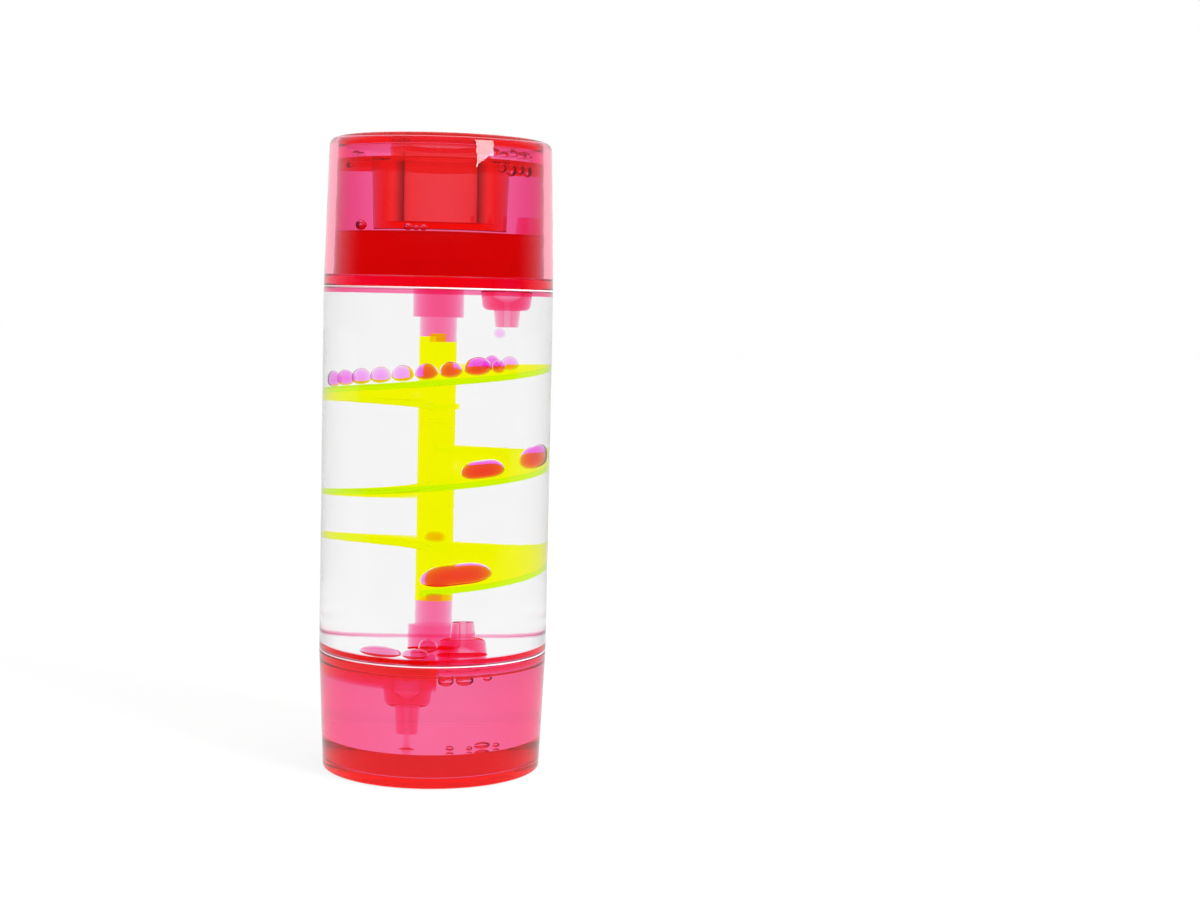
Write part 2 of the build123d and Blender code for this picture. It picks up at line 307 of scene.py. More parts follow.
# The yellow's outer edge gets a painted green glow, strongest at the front.
WET_YELLOW_FINISH = ClearFinish(
    "yellow_immersed", 1.001, (0.998, 1.0, 0.0), 1900.0, haze=0.01, rim=(0.54, 1.0, 0.6)
)
LIQUID_FINISH = ClearFinish("clear_liquid", 1.37, (0.0, 0.0, 0.1), 0.8, gloss=0.0, haze=0.01)
OIL_FINISH = ClearFinish("red_oil", 1.002, (0.983, 0.0, 0.3), 400.0, milk=0.008)
POOL_FINISH = ClearFinish("red_pool", 0.982, (0.985, 0.0, 0.3), 360.0)
FILM_FINISH = ClearFinish("red_film", 1.004, (0.985, 0.0, 0.0), 7000.0)
LOOSE_FINISH = ClearFinish("loose_drop", 0.965, (0.995, 0.0, 0.55), 300.0, milk=0.03)


class DropLook(Enum):
    """Finishes of the red drops, by how deep they look and where they lie."""

    PALE = ClearFinish("magenta_drop", 0.95, (0.99, 0.0, 0.97), 230.0)
    DEEP = ClearFinish("red_drop", 0.95, (1.0, 0.0, 0.93), 560.0, milk=0.03)
    EDGE = ClearFinish("edge_drop", 0.975, (0.995, 0.0, 0.93), 330.0, milk=0.02)


class Bench:
    """Object and edit mode steps that every modelled piece shares."""

    segments = 160
    ball_segments = 64
    ball_rings = 32
    quarter_steps = 8
    sharp_deg = 30.0
    round_deg = 180.0
    bevel_deg = 40.0
    touch = 1e-6

    @staticmethod
    def clear() -> None:
        """Leave edit mode and deselect everything."""
        if bpy.context.mode != "OBJECT":
            bpy.ops.object.mode_set(mode="OBJECT")
        bpy.ops.object.select_all(action="DESELECT")

    @classmethod
    def take(cls, piece: Piece) -> None:
        """Select one piece alone and make it active.

        Args:
            piece: The piece.
        """
        cls.clear()
        bpy.context.view_layer.objects.active = piece
        piece.select_set(True)

    @staticmethod
    def edit(mode: str = "EDGE") -> None:
        """Enter edit mode with everything selected.

        Args:
            mode: Select mode.
        """
        bpy.ops.object.mode_set(mode="EDIT")
        bpy.ops.mesh.select_mode(type=mode)
        bpy.ops.mesh.select_all(action="SELECT")

    @staticmethod
    def settle(name: str, smooth_deg: float) -> Piece:
        """Leave edit mode, then name and smooth the active piece.

        Args:
            name: Name of the piece and of its mesh.
            smooth_deg: Angle past which an edge stays sharp.

        Returns:
            The finished piece.
        """
        bpy.ops.object.mode_set(mode="OBJECT")
        piece = bpy.context.object
        piece.name = name
        piece.data.name = name
        bpy.ops.object.shade_smooth_by_angle(angle=math.radians(smooth_deg))
        return piece

    @classmethod
    def smooth(cls, piece: Piece) -> None:
        """Shade a piece smooth, apart from its sharp edges."""
        cls.take(piece)
        bpy.ops.object.shade_smooth_by_angle(angle=math.radians(cls.sharp_deg))

    @classmethod
    def round_edges(cls, piece: Piece, width: float, steps: int = 3) -> None:
        """Round the sharp edges of a piece.

        Args:
            piece: Piece to round.
            width: Width of the rounding.
            steps: Faces across the rounding.
        """
        cls.take(piece)
        rounding = piece.modifiers.new("edge_round", "BEVEL")
        rounding.width = width
        rounding.segments = steps
        rounding.limit_method = "ANGLE"
        rounding.angle_limit = math.radians(cls.bevel_deg)
        bpy.ops.object.modifier_apply(modifier=rounding.name)
        cls.smooth(piece)

    @classmethod
    def close(cls, ends: Ends) -> None:
        """Close the open ends of the mesh in edit mode and turn its faces outwards.

        Args:
            ends: Whether the ends get discs or meet each other.
        """
        bpy.ops.mesh.select_all(action="DESELECT")
        bpy.ops.mesh.select_non_manifold()
        if ends is Ends.JOINED:
            bpy.ops.mesh.bridge_edge_loops()
        else:
            bpy.ops.mesh.fill_holes(sides=0)
        bpy.ops.mesh.select_all(action="SELECT")
        bpy.ops.mesh.normals_make_consistent(inside=False)

    @classmethod
    def turn(cls, name: str, outline: Outline, ends: Ends) -> Piece:
        """Turn a round piece by drawing a ring along an outline.

        Args:
            name: Name of the piece.
            outline: Radius and height of each ring, in order.
            ends: Whether the ends get discs or meet each other.

        Returns:
            The turned piece, with its faces outwards.
        """
        cls.clear()
        radius, level = outline[0]
        bpy.ops.mesh.primitive_circle_add(vertices=cls.segments, radius=radius, location=(0, 0, level))
        bpy.ops.object.transform_apply(location=True, rotation=False, scale=False)
        cls.edit()
        for next_radius, next_level in outline[1:]:
            step = (0, 0, next_level - level)
            bpy.ops.mesh.extrude_edges_move(TRANSFORM_OT_translate={"value": step})
            share = next_radius / radius
            centre = (0, 0, next_level)
            bpy.ops.transform.resize(value=(share, share, 1), center_override=centre)
            radius, level = next_radius, next_level
        cls.close(ends)
        return cls.settle(name, cls.sharp_deg)

    @classmethod
    def rod(cls, name: str, radius: float, span: Ring) -> Piece:
        """Turn a plain rod between two levels."""
        return cls.turn(name, [(radius, span[0]), (radius, span[1])], Ends.DISCS)

    @classmethod
    def quarter(cls, radius: float, level: float, size: float) -> Outline:
        """Draw the rings of a rounded upper edge.

        Args:
            radius: Radius of the edge before it is rounded.
            level: Level of the edge.
            size: Radius of the rounding.

        Returns:
            The rings, from the side to the top.
        """
        rings = []
        for step in range(cls.quarter_steps + 1):
            turn = math.radians(90 * step / cls.quarter_steps)
            rings.append((radius - size * (1 - math.cos(turn)), level - size * (1 - math.sin(turn))))
        return rings

    @classmethod
    def work_in(cls, piece: Piece, tool: Piece, how: Joinery) -> None:
        """Add one solid to another or cut it away, and use it up.

        Args:
            piece: Solid that is changed.
            tool: Solid that is added or cut away.
            how: Which of the two is done.
        """
        cls.take(piece)
        joint = piece.modifiers.new("joint", "BOOLEAN")
        joint.operation = how.value
        joint.solver = "EXACT"
        joint.object = tool
        bpy.ops.object.modifier_apply(modifier=joint.name)
        bpy.data.objects.remove(tool)

    @classmethod
    def part_disc(cls, radius: float, span: Ring, turn_deg: float, edge: float) -> Piece:
        """Make the part of a disc that lies past a straight edge.

        Args:
            radius: Radius of the disc.
            span: Lower and upper level.
            turn_deg: Direction, from +X, of the part that is kept.
            edge: How far from the middle the straight edge lies, in that direction.

        Returns:
            The part disc.
        """
        piece = cls.rod("part_disc", radius, span)
        cls.clear()
        bpy.ops.mesh.primitive_cube_add(size=1.0)
        block = bpy.context.object
        turned = Matrix.Rotation(math.radians(turn_deg), 4, "Z")
        tall = 2 * (span[1] - span[0])
        sized = Matrix.Diagonal((2 * radius, 3 * radius, tall, 1))
        middle = Matrix.Translation((edge + radius, 0, (span[0] + span[1]) / 2))
        cls.put(block, turned @ middle @ sized)
        cls.work_in(piece, block, Joinery.SHARE)
        return piece

    @classmethod
    def put(cls, piece: Piece, place: Matrix) -> None:
        """Move a piece to its place, which goes into its mesh.

        Args:
            piece: The piece.
            place: Where it goes.
        """
        cls.take(piece)
        piece.matrix_world = place
        bpy.ops.object.transform_apply(location=True, rotation=True, scale=True)

    @classmethod
    def copy(cls, piece: Piece, name: str, place: Matrix) -> Piece:
        """Copy a piece with a mesh of its own and put the copy in its place.

        Args:
            piece: Piece to copy.
            name: Name of the copy.
            place: Where the copy goes.

        Returns:
            The copy.
        """
        twin = piece.copy()
        twin.data = piece.data.copy()
        bpy.context.collection.objects.link(twin)
        twin.name = name
        twin.data.name = name
        cls.put(twin, place)
        return twin

    @classmethod
    def pick(cls, axis: int, sign: int) -> None:
        """Select the vertices on one side of the middle, in edit mode.

        Args:
            axis: Number of the axis.
            sign: Which side.
        """
        mesh = bmesh.from_edit_mesh(bpy.context.object.data)
        for vertex in mesh.verts:
            vertex.select_set(vertex.co[axis] * sign > cls.touch)
        mesh.select_flush_mode()
        bmesh.update_edit_mesh(bpy.context.object.data)

    @classmethod
    def ball(cls, name: str, size: Vector, place: Matrix, flat: float = 1.0, blunt: float = 0.0) -> Piece:
        """Shape a round drop that has sagged, so that it is widest below its middle.

        Args:
            name: Name of the piece.
            size: Length, width and height.
            place: Where the drop sits and how it is turned.
            flat: Share of the lower half's height that is left; the upper half gains it.
            blunt: Share of the length that runs straight between the rounded ends.

        Returns:
            The drop, with its place in its mesh.
        """
        cls.clear()
        bpy.ops.mesh.primitive_uv_sphere_add(
            segments=cls.ball_segments, ring_count=cls.ball_rings, radius=0.5
        )
        cls.edit("VERT")
        bpy.ops.transform.resize(value=(1 - blunt, 1, 1), center_override=(0, 0, 0))
        for sign in (-1, 1):
            cls.pick(0, sign)
            bpy.ops.transform.translate(value=(sign * blunt / 2, 0, 0))
            cls.pick(2, sign)
            share = flat if sign < 0 else 2 - flat
            bpy.ops.transform.resize(value=(1, 1, share), center_override=(0, 0, 0))
        bpy.ops.mesh.select_all(action="SELECT")
        bpy.ops.transform.translate(value=(0, 0, (flat - 1) / 2))
        bpy.ops.transform.resize(value=tuple(size), center_override=(0, 0, 0))
        piece = cls.settle(name, cls.round_deg)
        cls.put(piece, place)
        return piece

    @classmethod
    def join(cls, piece: Piece, shells: list[Piece], hollow: bool = False) -> None:
        """Join loose shells into a piece, which keeps its name.

        Args:
            piece: Piece that takes the shells in.
            shells: Closed shells that are used up.
            hollow: Whether the shells become hollows inside the piece.
        """
        for shell in shells:
            cls.take(shell)
            if hollow:
                cls.edit("FACE")
                bpy.ops.mesh.flip_normals()
                bpy.ops.object.mode_set(mode="OBJECT")
            piece.select_set(True)
            bpy.context.view_layer.objects.active = piece
            bpy.ops.object.join()


def on_circle(radius: float, turn_deg: float, level: float) -> Vector:
    """Find a point from its distance to the axis, its turn from +X and its level."""
    turn = math.radians(turn_deg)
    return Vector((radius * math.cos(turn), radius * math.sin(turn), level))


def dress(piece: Piece, material: bpy.types.Material) -> None:
    """Give a piece one material in place of those it has."""
    piece.data.materials.clear()
    piece.data.materials.append(material)


def stand_for(piece: Piece, node: str, slot: str, body: str = HOUSING) -> None:
    """Let a piece stand for a node of the frame.

    Args:
        piece: The modelled piece.
        node: Node that it replaces.
        slot: Material slot of the record; not used.
        body: Body that it moves with.
    """
    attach(piece, body)
    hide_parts(node)
    LOG.info("%s stands for %s", piece.name, node)


def add_looks(piece: Piece) -> None:
    """Let a piece that stands for no node move with the housing.

    Args:
        piece: The modelled piece.
    """
    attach(piece, HOUSING)
    LOG.info("%s adds to the looks", piece.name)


@dataclass(frozen=True)
class Post:
    """Sizes of the central post, whose pieces stack on spigots and keys."""

    radius: float = 3.05 * MM
    reach: float = 11.8 * MM
    spigot: float = 1.35 * MM
    spigot_length: float = 1.8 * MM
    key_height: float = 1.1 * MM
    key_offset: float = 0.9 * MM
    fit: float = 0.05 * MM
    hair: float = 0.02 * MM

    def add_key(self, piece: Piece, level: float, turn_deg: float) -> None:
        """Add the key on top of a post piece.

        Args:
            piece: The post piece.
            level: Level of the post's top.
            turn_deg: Direction of the key.
        """
        span = (level - MM, level + self.key_height)
        key = Bench.part_disc(self.radius - self.hair, span, turn_deg, self.key_offset)
        Bench.work_in(piece, key, Joinery.ADD)

    def cut_notch(self, piece: Piece, span: Ring, turn_deg: float) -> None:
        """Cut the notch that takes a key, between two levels and in one direction."""
        notch = Bench.part_disc(self.radius + self.fit, span, turn_deg, self.key_offset - self.fit)
        Bench.work_in(piece, notch, Joinery.CUT)


@dataclass(frozen=True)
class Ramp:
    """Sizes of the helical ramps."""

    radius: float = 23.1 * MM
    lead: float = 12.8 * MM
    sweep: float = 277.0
    thickness: float = 1.3 * MM
    corner: float = 0.25 * MM
    drop: float = 4.6 * MM
    module_turn: float = 90.0
    steps: int = 144


POST = Post()
RAMP = Ramp()


@dataclass
class Levels:
    """Heights and radii that the frame gives."""

    tube_low: float
    tube_high: float
    top: float
    radius: float

    @classmethod
    def read(cls) -> Levels:
        """Read the levels from the frame's nodes.

        Returns:
            The levels.
        """
        low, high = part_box("tube")
        _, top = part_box("top_cap")
        return cls(low[2], high[2], top[2], high[0])

    def column_top(self) -> float:
        """Level where the yellow post ends."""
        return self.tube_high - POST.reach

    def module(self) -> float:
        """Height of one of the three pieces of the yellow post."""
        return (self.column_top() - (self.tube_low + POST.reach)) / 3


@dataclass
class Housing:
    """The tube, the base cup, the cap, the inner cup and its stopper."""

    levels: Levels
    tube_wall: float = 2.0 * MM
    tube_round: float = 0.15 * MM
    flange_inset: float = 1.15 * MM
    plate: float = 2.2 * MM
    foot_draft: float = 1.1 * MM
    base_wall: float = 2.2 * MM
    base_floor: float = 2.0 * MM
    base_round: float = 0.4 * MM
    cap_draft: float = 0.9 * MM
    cap_wall: float = 1.7 * MM
    cap_plate: float = 1.0 * MM
    cap_edge: float = 1.8 * MM
    cap_gap: float = 0.35 * MM
    cap_round: float = 0.2 * MM
    cup_wall: float = 1.5 * MM
    cup_plate: float = 1.0 * MM
    cup_top_gap: float = 0.2 * MM
    cup_round: float = 0.3 * MM
    plug_radius: float = 11.2 * MM
    plug_tip_radius: float = 10.8 * MM
    plug_bore: float = 8.1 * MM
    plug_floor: float = 1.5 * MM
    plug_round: float = 0.25 * MM
    fit: float = 0.05 * MM
    seam: float = 0.05 * MM
    # Height, seams, inset and depth of the pale joint rings of painted highlight; the tube stops short of
    # each joint by that height.
    highlight_band: float = 0.3 * MM
    highlight_seam: float = 0.04 * MM
    highlight_inset: float = 0.1 * MM
    highlight_depth: float = 0.8 * MM

    def base_radius(self, z: float) -> float:
        """Outer radius of the base cup at a level."""
        return self.levels.radius - self.foot_draft * (1 - z / self.levels.tube_low)

    def base_bore(self, z: float) -> float:
        """Inner radius of the base cup at a level."""
        return self.base_radius(z) - self.base_wall

    def cap_radius(self, z: float) -> float:
        """Outer radius of the cap at a level."""
        rise = (z - self.levels.tube_high) / (self.levels.top - self.levels.tube_high)
        return self.levels.radius - self.cap_draft * rise

    def cup_bore(self, z: float) -> float:
        """Inner radius of the inner cup at a level."""
        return self.cap_radius(z) - self.cap_wall - self.cap_gap - self.cup_wall

    def build(self) -> None:
        """Model and dress every shell and both pale joint rings of painted highlight."""
        joined, discs = Ends.JOINED, Ends.DISCS
        outlines = self.outlines()
        for name, node, ends, rounding, slot, finish in (
            ("clear_tube", "tube", joined, self.tube_round, "clear_tube", TUBE_FINISH),
            ("base_cup", "base_cup", discs, self.base_round, "red_shell", SHELL_FINISH),
            ("top_cap", "top_cap", discs, self.cap_round, "pale_shell", PALE_FINISH),
            ("upper_cup", "upper_cup", joined, self.cup_round, "red_inner", INNER_FINISH),
            ("filler_plug", "filler_plug", discs, self.plug_round, "red_inner", PLUG_FINISH),
        ):
            piece = Bench.turn(f"{name}_piece", outlines[node], ends)
            Bench.round_edges(piece, rounding)
            dress(piece, finish.material())
            stand_for(piece, node, slot)
        # Pale rings at both joints of the tube: painted highlight, not a part of the timer.
        pale = PAINTED_HIGHLIGHT_FINISH.material()
        upper_foot = self.levels.tube_high - self.highlight_band
        for name, foot in (("lower_joint_highlight", self.levels.tube_low), ("upper_joint_highlight", upper_foot)):
            line = Bench.turn(name, self.painted_highlight_ring(foot), joined)
            dress(line, pale)
            add_looks(line)

    def painted_highlight_ring(self, foot: float) -> Outline:
        """Draw the thin pale ring between the tube and a shell, a painted highlight along the joint.

        Args:
            foot: Level where the joint begins.

        Returns:
            The outline of the ring.
        """
        low, high = foot + self.highlight_seam, foot + self.highlight_band - self.highlight_seam
        outer = self.levels.radius - self.highlight_inset
        inner = outer - self.highlight_depth
        return [(outer, low), (outer, high), (inner, high), (inner, low)]

    def outlines(self) -> dict[str, Outline]:
        """Draw the five shells.

        Returns:
            The outline of each, by its node.
        """
        levels = self.levels
        radius, foot, head, top = levels.radius, levels.tube_low, levels.tube_high, levels.top
        bore, seat = radius - self.tube_wall, radius - self.flange_inset
        low, high = foot + self.highlight_band, head - self.highlight_band
        base_ledge = foot - self.plate - self.seam
        cap_ledge = head + self.plate + self.seam
        cap_under = top - self.cap_plate
        cup_top = cap_under - self.cup_top_gap
        cup_under = cup_top - self.cup_plate
        hole = self.plug_radius + self.fit
        plug_low, plug_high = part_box("filler_plug")
        return {
            "tube": [(radius, low), (radius, high), (bore, high), (bore, low)],
            "base_cup": [
                (self.base_bore(self.base_floor), self.base_floor),
                (self.base_bore(base_ledge), base_ledge),
                (seat, base_ledge),
                (seat, foot),
                (radius, foot),
                (self.base_radius(0), 0),
            ],
            "top_cap": [
                (self.cap_radius(cap_under) - self.cap_wall, cap_under),
                (self.cap_radius(cap_ledge) - self.cap_wall, cap_ledge),
                (seat, cap_ledge),
                (seat, head),
                (radius, head),
                *Bench.quarter(self.cap_radius(top), top, self.cap_edge),
            ],
            "upper_cup": [
                (self.cup_bore(cap_ledge), cap_ledge),
                (self.cup_bore(cap_ledge) + self.cup_wall, cap_ledge),
                (self.cup_bore(cup_top) + self.cup_wall, cup_top),
                (hole, cup_top),
                (hole, cup_under),
                (self.cup_bore(cup_under), cup_under),
            ],
            "filler_plug": [
                (self.plug_tip_radius, plug_low[2]),
                (self.plug_radius, cup_under),
                (self.plug_radius, plug_high[2]),
                (self.plug_bore, plug_high[2]),
                (self.plug_bore, plug_low[2] + self.plug_floor),
            ],
        }


@dataclass
class Nozzle:
    """A hollow bell with a tapered tip and a stem that is pressed into a partition."""

    bell: float
    tip: float
    stem: float
    stem_radius: float = 3.3 * MM
    bell_radius: float = 4.75 * MM
    shoulder: float = 1.3 * MM
    draft: float = 0.3 * MM
    wall: float = 1.5 * MM
    hollow: float = 2.6 * MM
    tip_radius: float = 2.4 * MM
    tip_end_radius: float = 2.1 * MM
    bore: float = 0.65 * MM
    edge_round: float = 0.12 * MM
    seam: float = 0.03 * MM

    def shape(self, name: str) -> Piece:
        """Turn the nozzle, pointing up from level 0.

        Args:
            name: Name of the piece.

        Returns:
            The nozzle, on the Z axis.
        """
        top = self.bell + self.tip
        throat = self.bell - self.wall
        foot = self.seam - self.stem
        outline = [
            (self.stem_radius, foot),
            (self.stem_radius, self.seam),
            (self.bell_radius, self.seam),
            *Bench.quarter(self.bell_radius - self.draft, self.bell, self.shoulder),
            (self.tip_radius, self.bell),
            (self.tip_end_radius, top),
            (self.bore, top),
            (self.bore, throat),
            (self.hollow, throat - self.shoulder),
            (self.hollow, foot),
        ]
        piece = Bench.turn(name, outline, Ends.JOINED)
        Bench.round_edges(piece, self.edge_round, 2)
        return piece


@dataclass
class Partition:
    """A plate with a locating ring, a half-moon sump and a post, used at both ends."""

    levels: Levels
    flange: float = 24.3 * MM
    plate: float = 2.2 * MM
    ring: float = 23.3 * MM
    ring_bore: float = 20.7 * MM
    ring_height: float = 1.4 * MM
    sump: float = 21.59 * MM
    sump_wall: float = 1.4 * MM
    sump_edge: float = 0.8 * MM
    sump_depth: float = 4.0 * MM
    sump_floor: float = 1.6 * MM
    sump_turn: float = 180.0
    boss: float = 4.15 * MM
    boss_height: float = 6.4 * MM
    inward_circle: float = 12.5 * MM
    outward_circle: float = 15.0 * MM
    hole: float = 3.35 * MM
    inward_turn: float = -64.0
    outward_turn: float = -108.5
    inward_bell: float = 4.6 * MM
    inward_tip: float = 3.7 * MM
    outward_bell: float = 4.1 * MM
    outward_tip: float = 6.1 * MM
    upper_spin: float = 82.0
    lower_key_turn: float = 435.0
    upper_key_turn: float = -247.0

    def places(self) -> dict[str, Matrix]:
        """Find where the lower and the upper partition stand.

        Returns:
            The place of each.
        """
        turned = Matrix.Rotation(math.pi, 4, "X") @ Matrix.Rotation(math.radians(self.upper_spin), 4, "Z")
        return {
            "lower": Matrix.Translation((0, 0, self.levels.tube_low)),
            "upper": Matrix.Translation((0, 0, self.levels.tube_high)) @ turned,
        }

    def moulding(self, name: str, has_spigot: bool, key_turn: float) -> Piece:
        """Shape one partition with its chamber's face at level 0.

        Args:
            name: Name of the piece.
            has_spigot: Whether the post ends in a spigot or in a socket.
            key_turn: Direction of the key or of its notch.

        Returns:
            The moulding.
        """
        socket = POST.spigot + POST.fit
        bare_outline = [
            (self.flange, -self.plate),
            (self.flange, 0),
            (self.ring, 0),
            (self.ring, self.ring_height),
            (self.ring_bore, self.ring_height),
            (self.ring_bore, 0),
            (self.boss, 0),
            (self.boss, self.boss_height),
            (POST.radius, self.boss_height),
            (POST.radius, POST.reach),
        ]
        if has_spigot:
            end = [(POST.spigot, POST.reach), (POST.spigot, POST.reach + POST.spigot_length)]
        else:
            end = [(socket, POST.reach), (socket, POST.reach - POST.spigot_length - POST.fit)]
        piece = Bench.turn(name, bare_outline + end, Ends.DISCS)
        below = -self.sump_depth - self.sump_floor
        sump = Bench.part_disc(self.sump, (below, -MM), self.sump_turn, -self.sump_edge)
        Bench.work_in(piece, sump, Joinery.ADD)
        pocket_radius, pocket_edge = self.sump - self.sump_wall, self.sump_wall - self.sump_edge
        pocket = Bench.part_disc(pocket_radius, (-self.sump_depth, MM), self.sump_turn, pocket_edge)
        Bench.work_in(pocket, Bench.rod("boss_core", self.boss - POST.hair, (below, 2 * MM)), Joinery.CUT)
        Bench.work_in(piece, pocket, Joinery.CUT)
        for circle, turn, span in (
            (self.inward_circle, self.inward_turn, (-2 * self.plate, MM)),
            (self.outward_circle, self.outward_turn, (2 * below, -self.sump_depth / 2)),
        ):
            hole = Bench.rod("hole", self.hole, span)
            Bench.put(hole, Matrix.Translation(on_circle(circle, turn, 0)))
            Bench.work_in(piece, hole, Joinery.CUT)
        if has_spigot:
            POST.add_key(piece, POST.reach, key_turn)
        else:
            POST.cut_notch(piece, (POST.reach - POST.key_height - POST.fit, POST.reach + MM), key_turn)
        Bench.smooth(piece)
        return piece

    def build(self) -> None:
        """Model and dress both partitions and their four nozzles."""
        plate = WET_RED_FINISH.material()
        nozzle_red = NOZZLE_FINISH.material()
        places = self.places()
        lower = self.moulding("lower_partition_piece", True, self.lower_key_turn)
        Bench.put(lower, places["lower"])
        upper = self.moulding("upper_partition_piece", False, self.upper_key_turn)
        Bench.put(upper, places["upper"])
        pieces = {"lower_partition": lower, "upper_partition": upper}
        inward = Nozzle(self.inward_bell, self.inward_tip, self.plate)
        outward = Nozzle(self.outward_bell, self.outward_tip, self.sump_floor)
        inward_seat = Matrix.Translation(on_circle(self.inward_circle, self.inward_turn, 0))
        below = -self.sump_depth - self.sump_floor
        outward_seat = Matrix.Translation(on_circle(self.outward_circle, self.outward_turn, below))
        outward_seat = outward_seat @ Matrix.Rotation(math.pi, 4, "X")
        for node, nozzle, place in (
            ("lower_vent_nozzle", inward, places["lower"] @ inward_seat),
            ("lower_drain_nozzle", outward, places["lower"] @ outward_seat),
            ("upper_drip_nozzle", inward, places["upper"] @ inward_seat),
            ("upper_vent_nozzle", outward, places["upper"] @ outward_seat),
        ):
            pieces[node] = nozzle.shape(f"{node}_piece")
            Bench.put(pieces[node], place)
        for node, piece in pieces.items():
            dress(piece, nozzle_red if node.endswith("nozzle") else plate)
            stand_for(piece, node, "red_inner")


@dataclass
class Spirals:
    """Three equal post pieces, each with one helical ramp."""

    levels: Levels
    socket_depth: float = 2.0 * MM
    key_turn: float = 442.0
    notch_turn: float = 532.0
    seam: float = 0.03 * MM

    def build(self) -> None:
        """Model one piece, copy it for the other two and dress all three."""
        height = self.levels.module()
        yellow = WET_YELLOW_FINISH.material()
        pattern = self.pattern(height)
        for index, node in enumerate(("spiral_upper", "spiral_middle", "spiral_lower")):
            turn = math.radians(RAMP.module_turn * index - RAMP.sweep)
            foot = Matrix.Translation((0, 0, self.levels.column_top() - (index + 1) * height))
            piece = Bench.copy(pattern, f"{node}_piece", foot @ Matrix.Rotation(turn, 4, "Z"))
            dress(piece, yellow)
            stand_for(piece, node, "yellow_spiral")
        bpy.data.objects.remove(pattern)

    def pattern(self, height: float) -> Piece:
        """Shape one spiral piece, standing on level 0.

        Args:
            height: Height of its post.

        Returns:
            The piece that the others are copied from.
        """
        socket = POST.spigot + POST.fit
        outline = [
            (socket, self.socket_depth),
            (socket, self.seam),
            (POST.radius, self.seam),
            (POST.radius, height),
            (POST.spigot, height),
            (POST.spigot, height + POST.spigot_length),
        ]
        piece = Bench.turn("spiral_pattern", outline, Ends.DISCS)
        Bench.work_in(piece, self.ramp(height), Joinery.ADD)
        POST.add_key(piece, height, self.key_turn)
        POST.cut_notch(piece, (-MM, POST.key_height + POST.fit), self.notch_turn)
        Bench.smooth(piece)
        return piece

    def ramp(self, height: float) -> Piece:
        """Draw the ramp round the post as a thread is cut.

        Args:
            height: Height of the post.

        Returns:
            The ramp, closed at both ends.
        """
        rise = RAMP.lead * RAMP.sweep / 360
        under = height - RAMP.drop - RAMP.thickness - rise
        start = POST.radius / 2
        Bench.clear()
        bpy.ops.mesh.primitive_plane_add(size=1.0)
        Bench.edit()
        bpy.ops.transform.resize(value=(RAMP.radius - start, RAMP.thickness, 1), center_override=(0, 0, 0))
        bpy.ops.transform.rotate(value=math.pi / 2, orient_axis="X", center_override=(0, 0, 0))
        middle = ((RAMP.radius + start) / 2, 0, under + RAMP.thickness / 2)
        bpy.ops.transform.translate(value=middle)
        bpy.ops.mesh.bevel(offset=RAMP.corner, segments=3, affect="VERTICES")
        bpy.ops.mesh.delete(type="ONLY_FACE")
        bpy.ops.object.mode_set(mode="OBJECT")
        piece = bpy.context.object
        thread = piece.modifiers.new("thread", "SCREW")
        thread.angle = math.radians(RAMP.sweep)
        thread.screw_offset = rise
        thread.steps = RAMP.steps
        thread.render_steps = RAMP.steps
        bpy.ops.object.modifier_apply(modifier=thread.name)
        Bench.edit()
        bpy.ops.mesh.remove_doubles(threshold=Bench.touch)
        Bench.close(Ends.DISCS)
        return Bench.settle("ramp", Bench.sharp_deg)


@dataclass(frozen=True)
class Bubble:
    """A bubble or loose drop: its distance to the axis, its turn, its foot and its size in millimetres."""

    reach: float
    turn: float
    foot: float
    size: Triple

    def ball(self, name: str, flat: float = 1.0) -> Piece:
        """Shape the bubble, with its length round the axis.

        Args:
            name: Name of the piece.
            flat: Share of the lower half's height that is left.

        Returns:
            The closed shell.
        """
        centre = on_circle(self.reach, self.turn, self.foot + self.size[2] / 2) * MM
        turned = Matrix.Rotation(math.radians(self.turn + 90), 4, "Z")
        return Bench.ball(name, Vector(self.size) * MM, Matrix.Translation(centre) @ turned, flat)


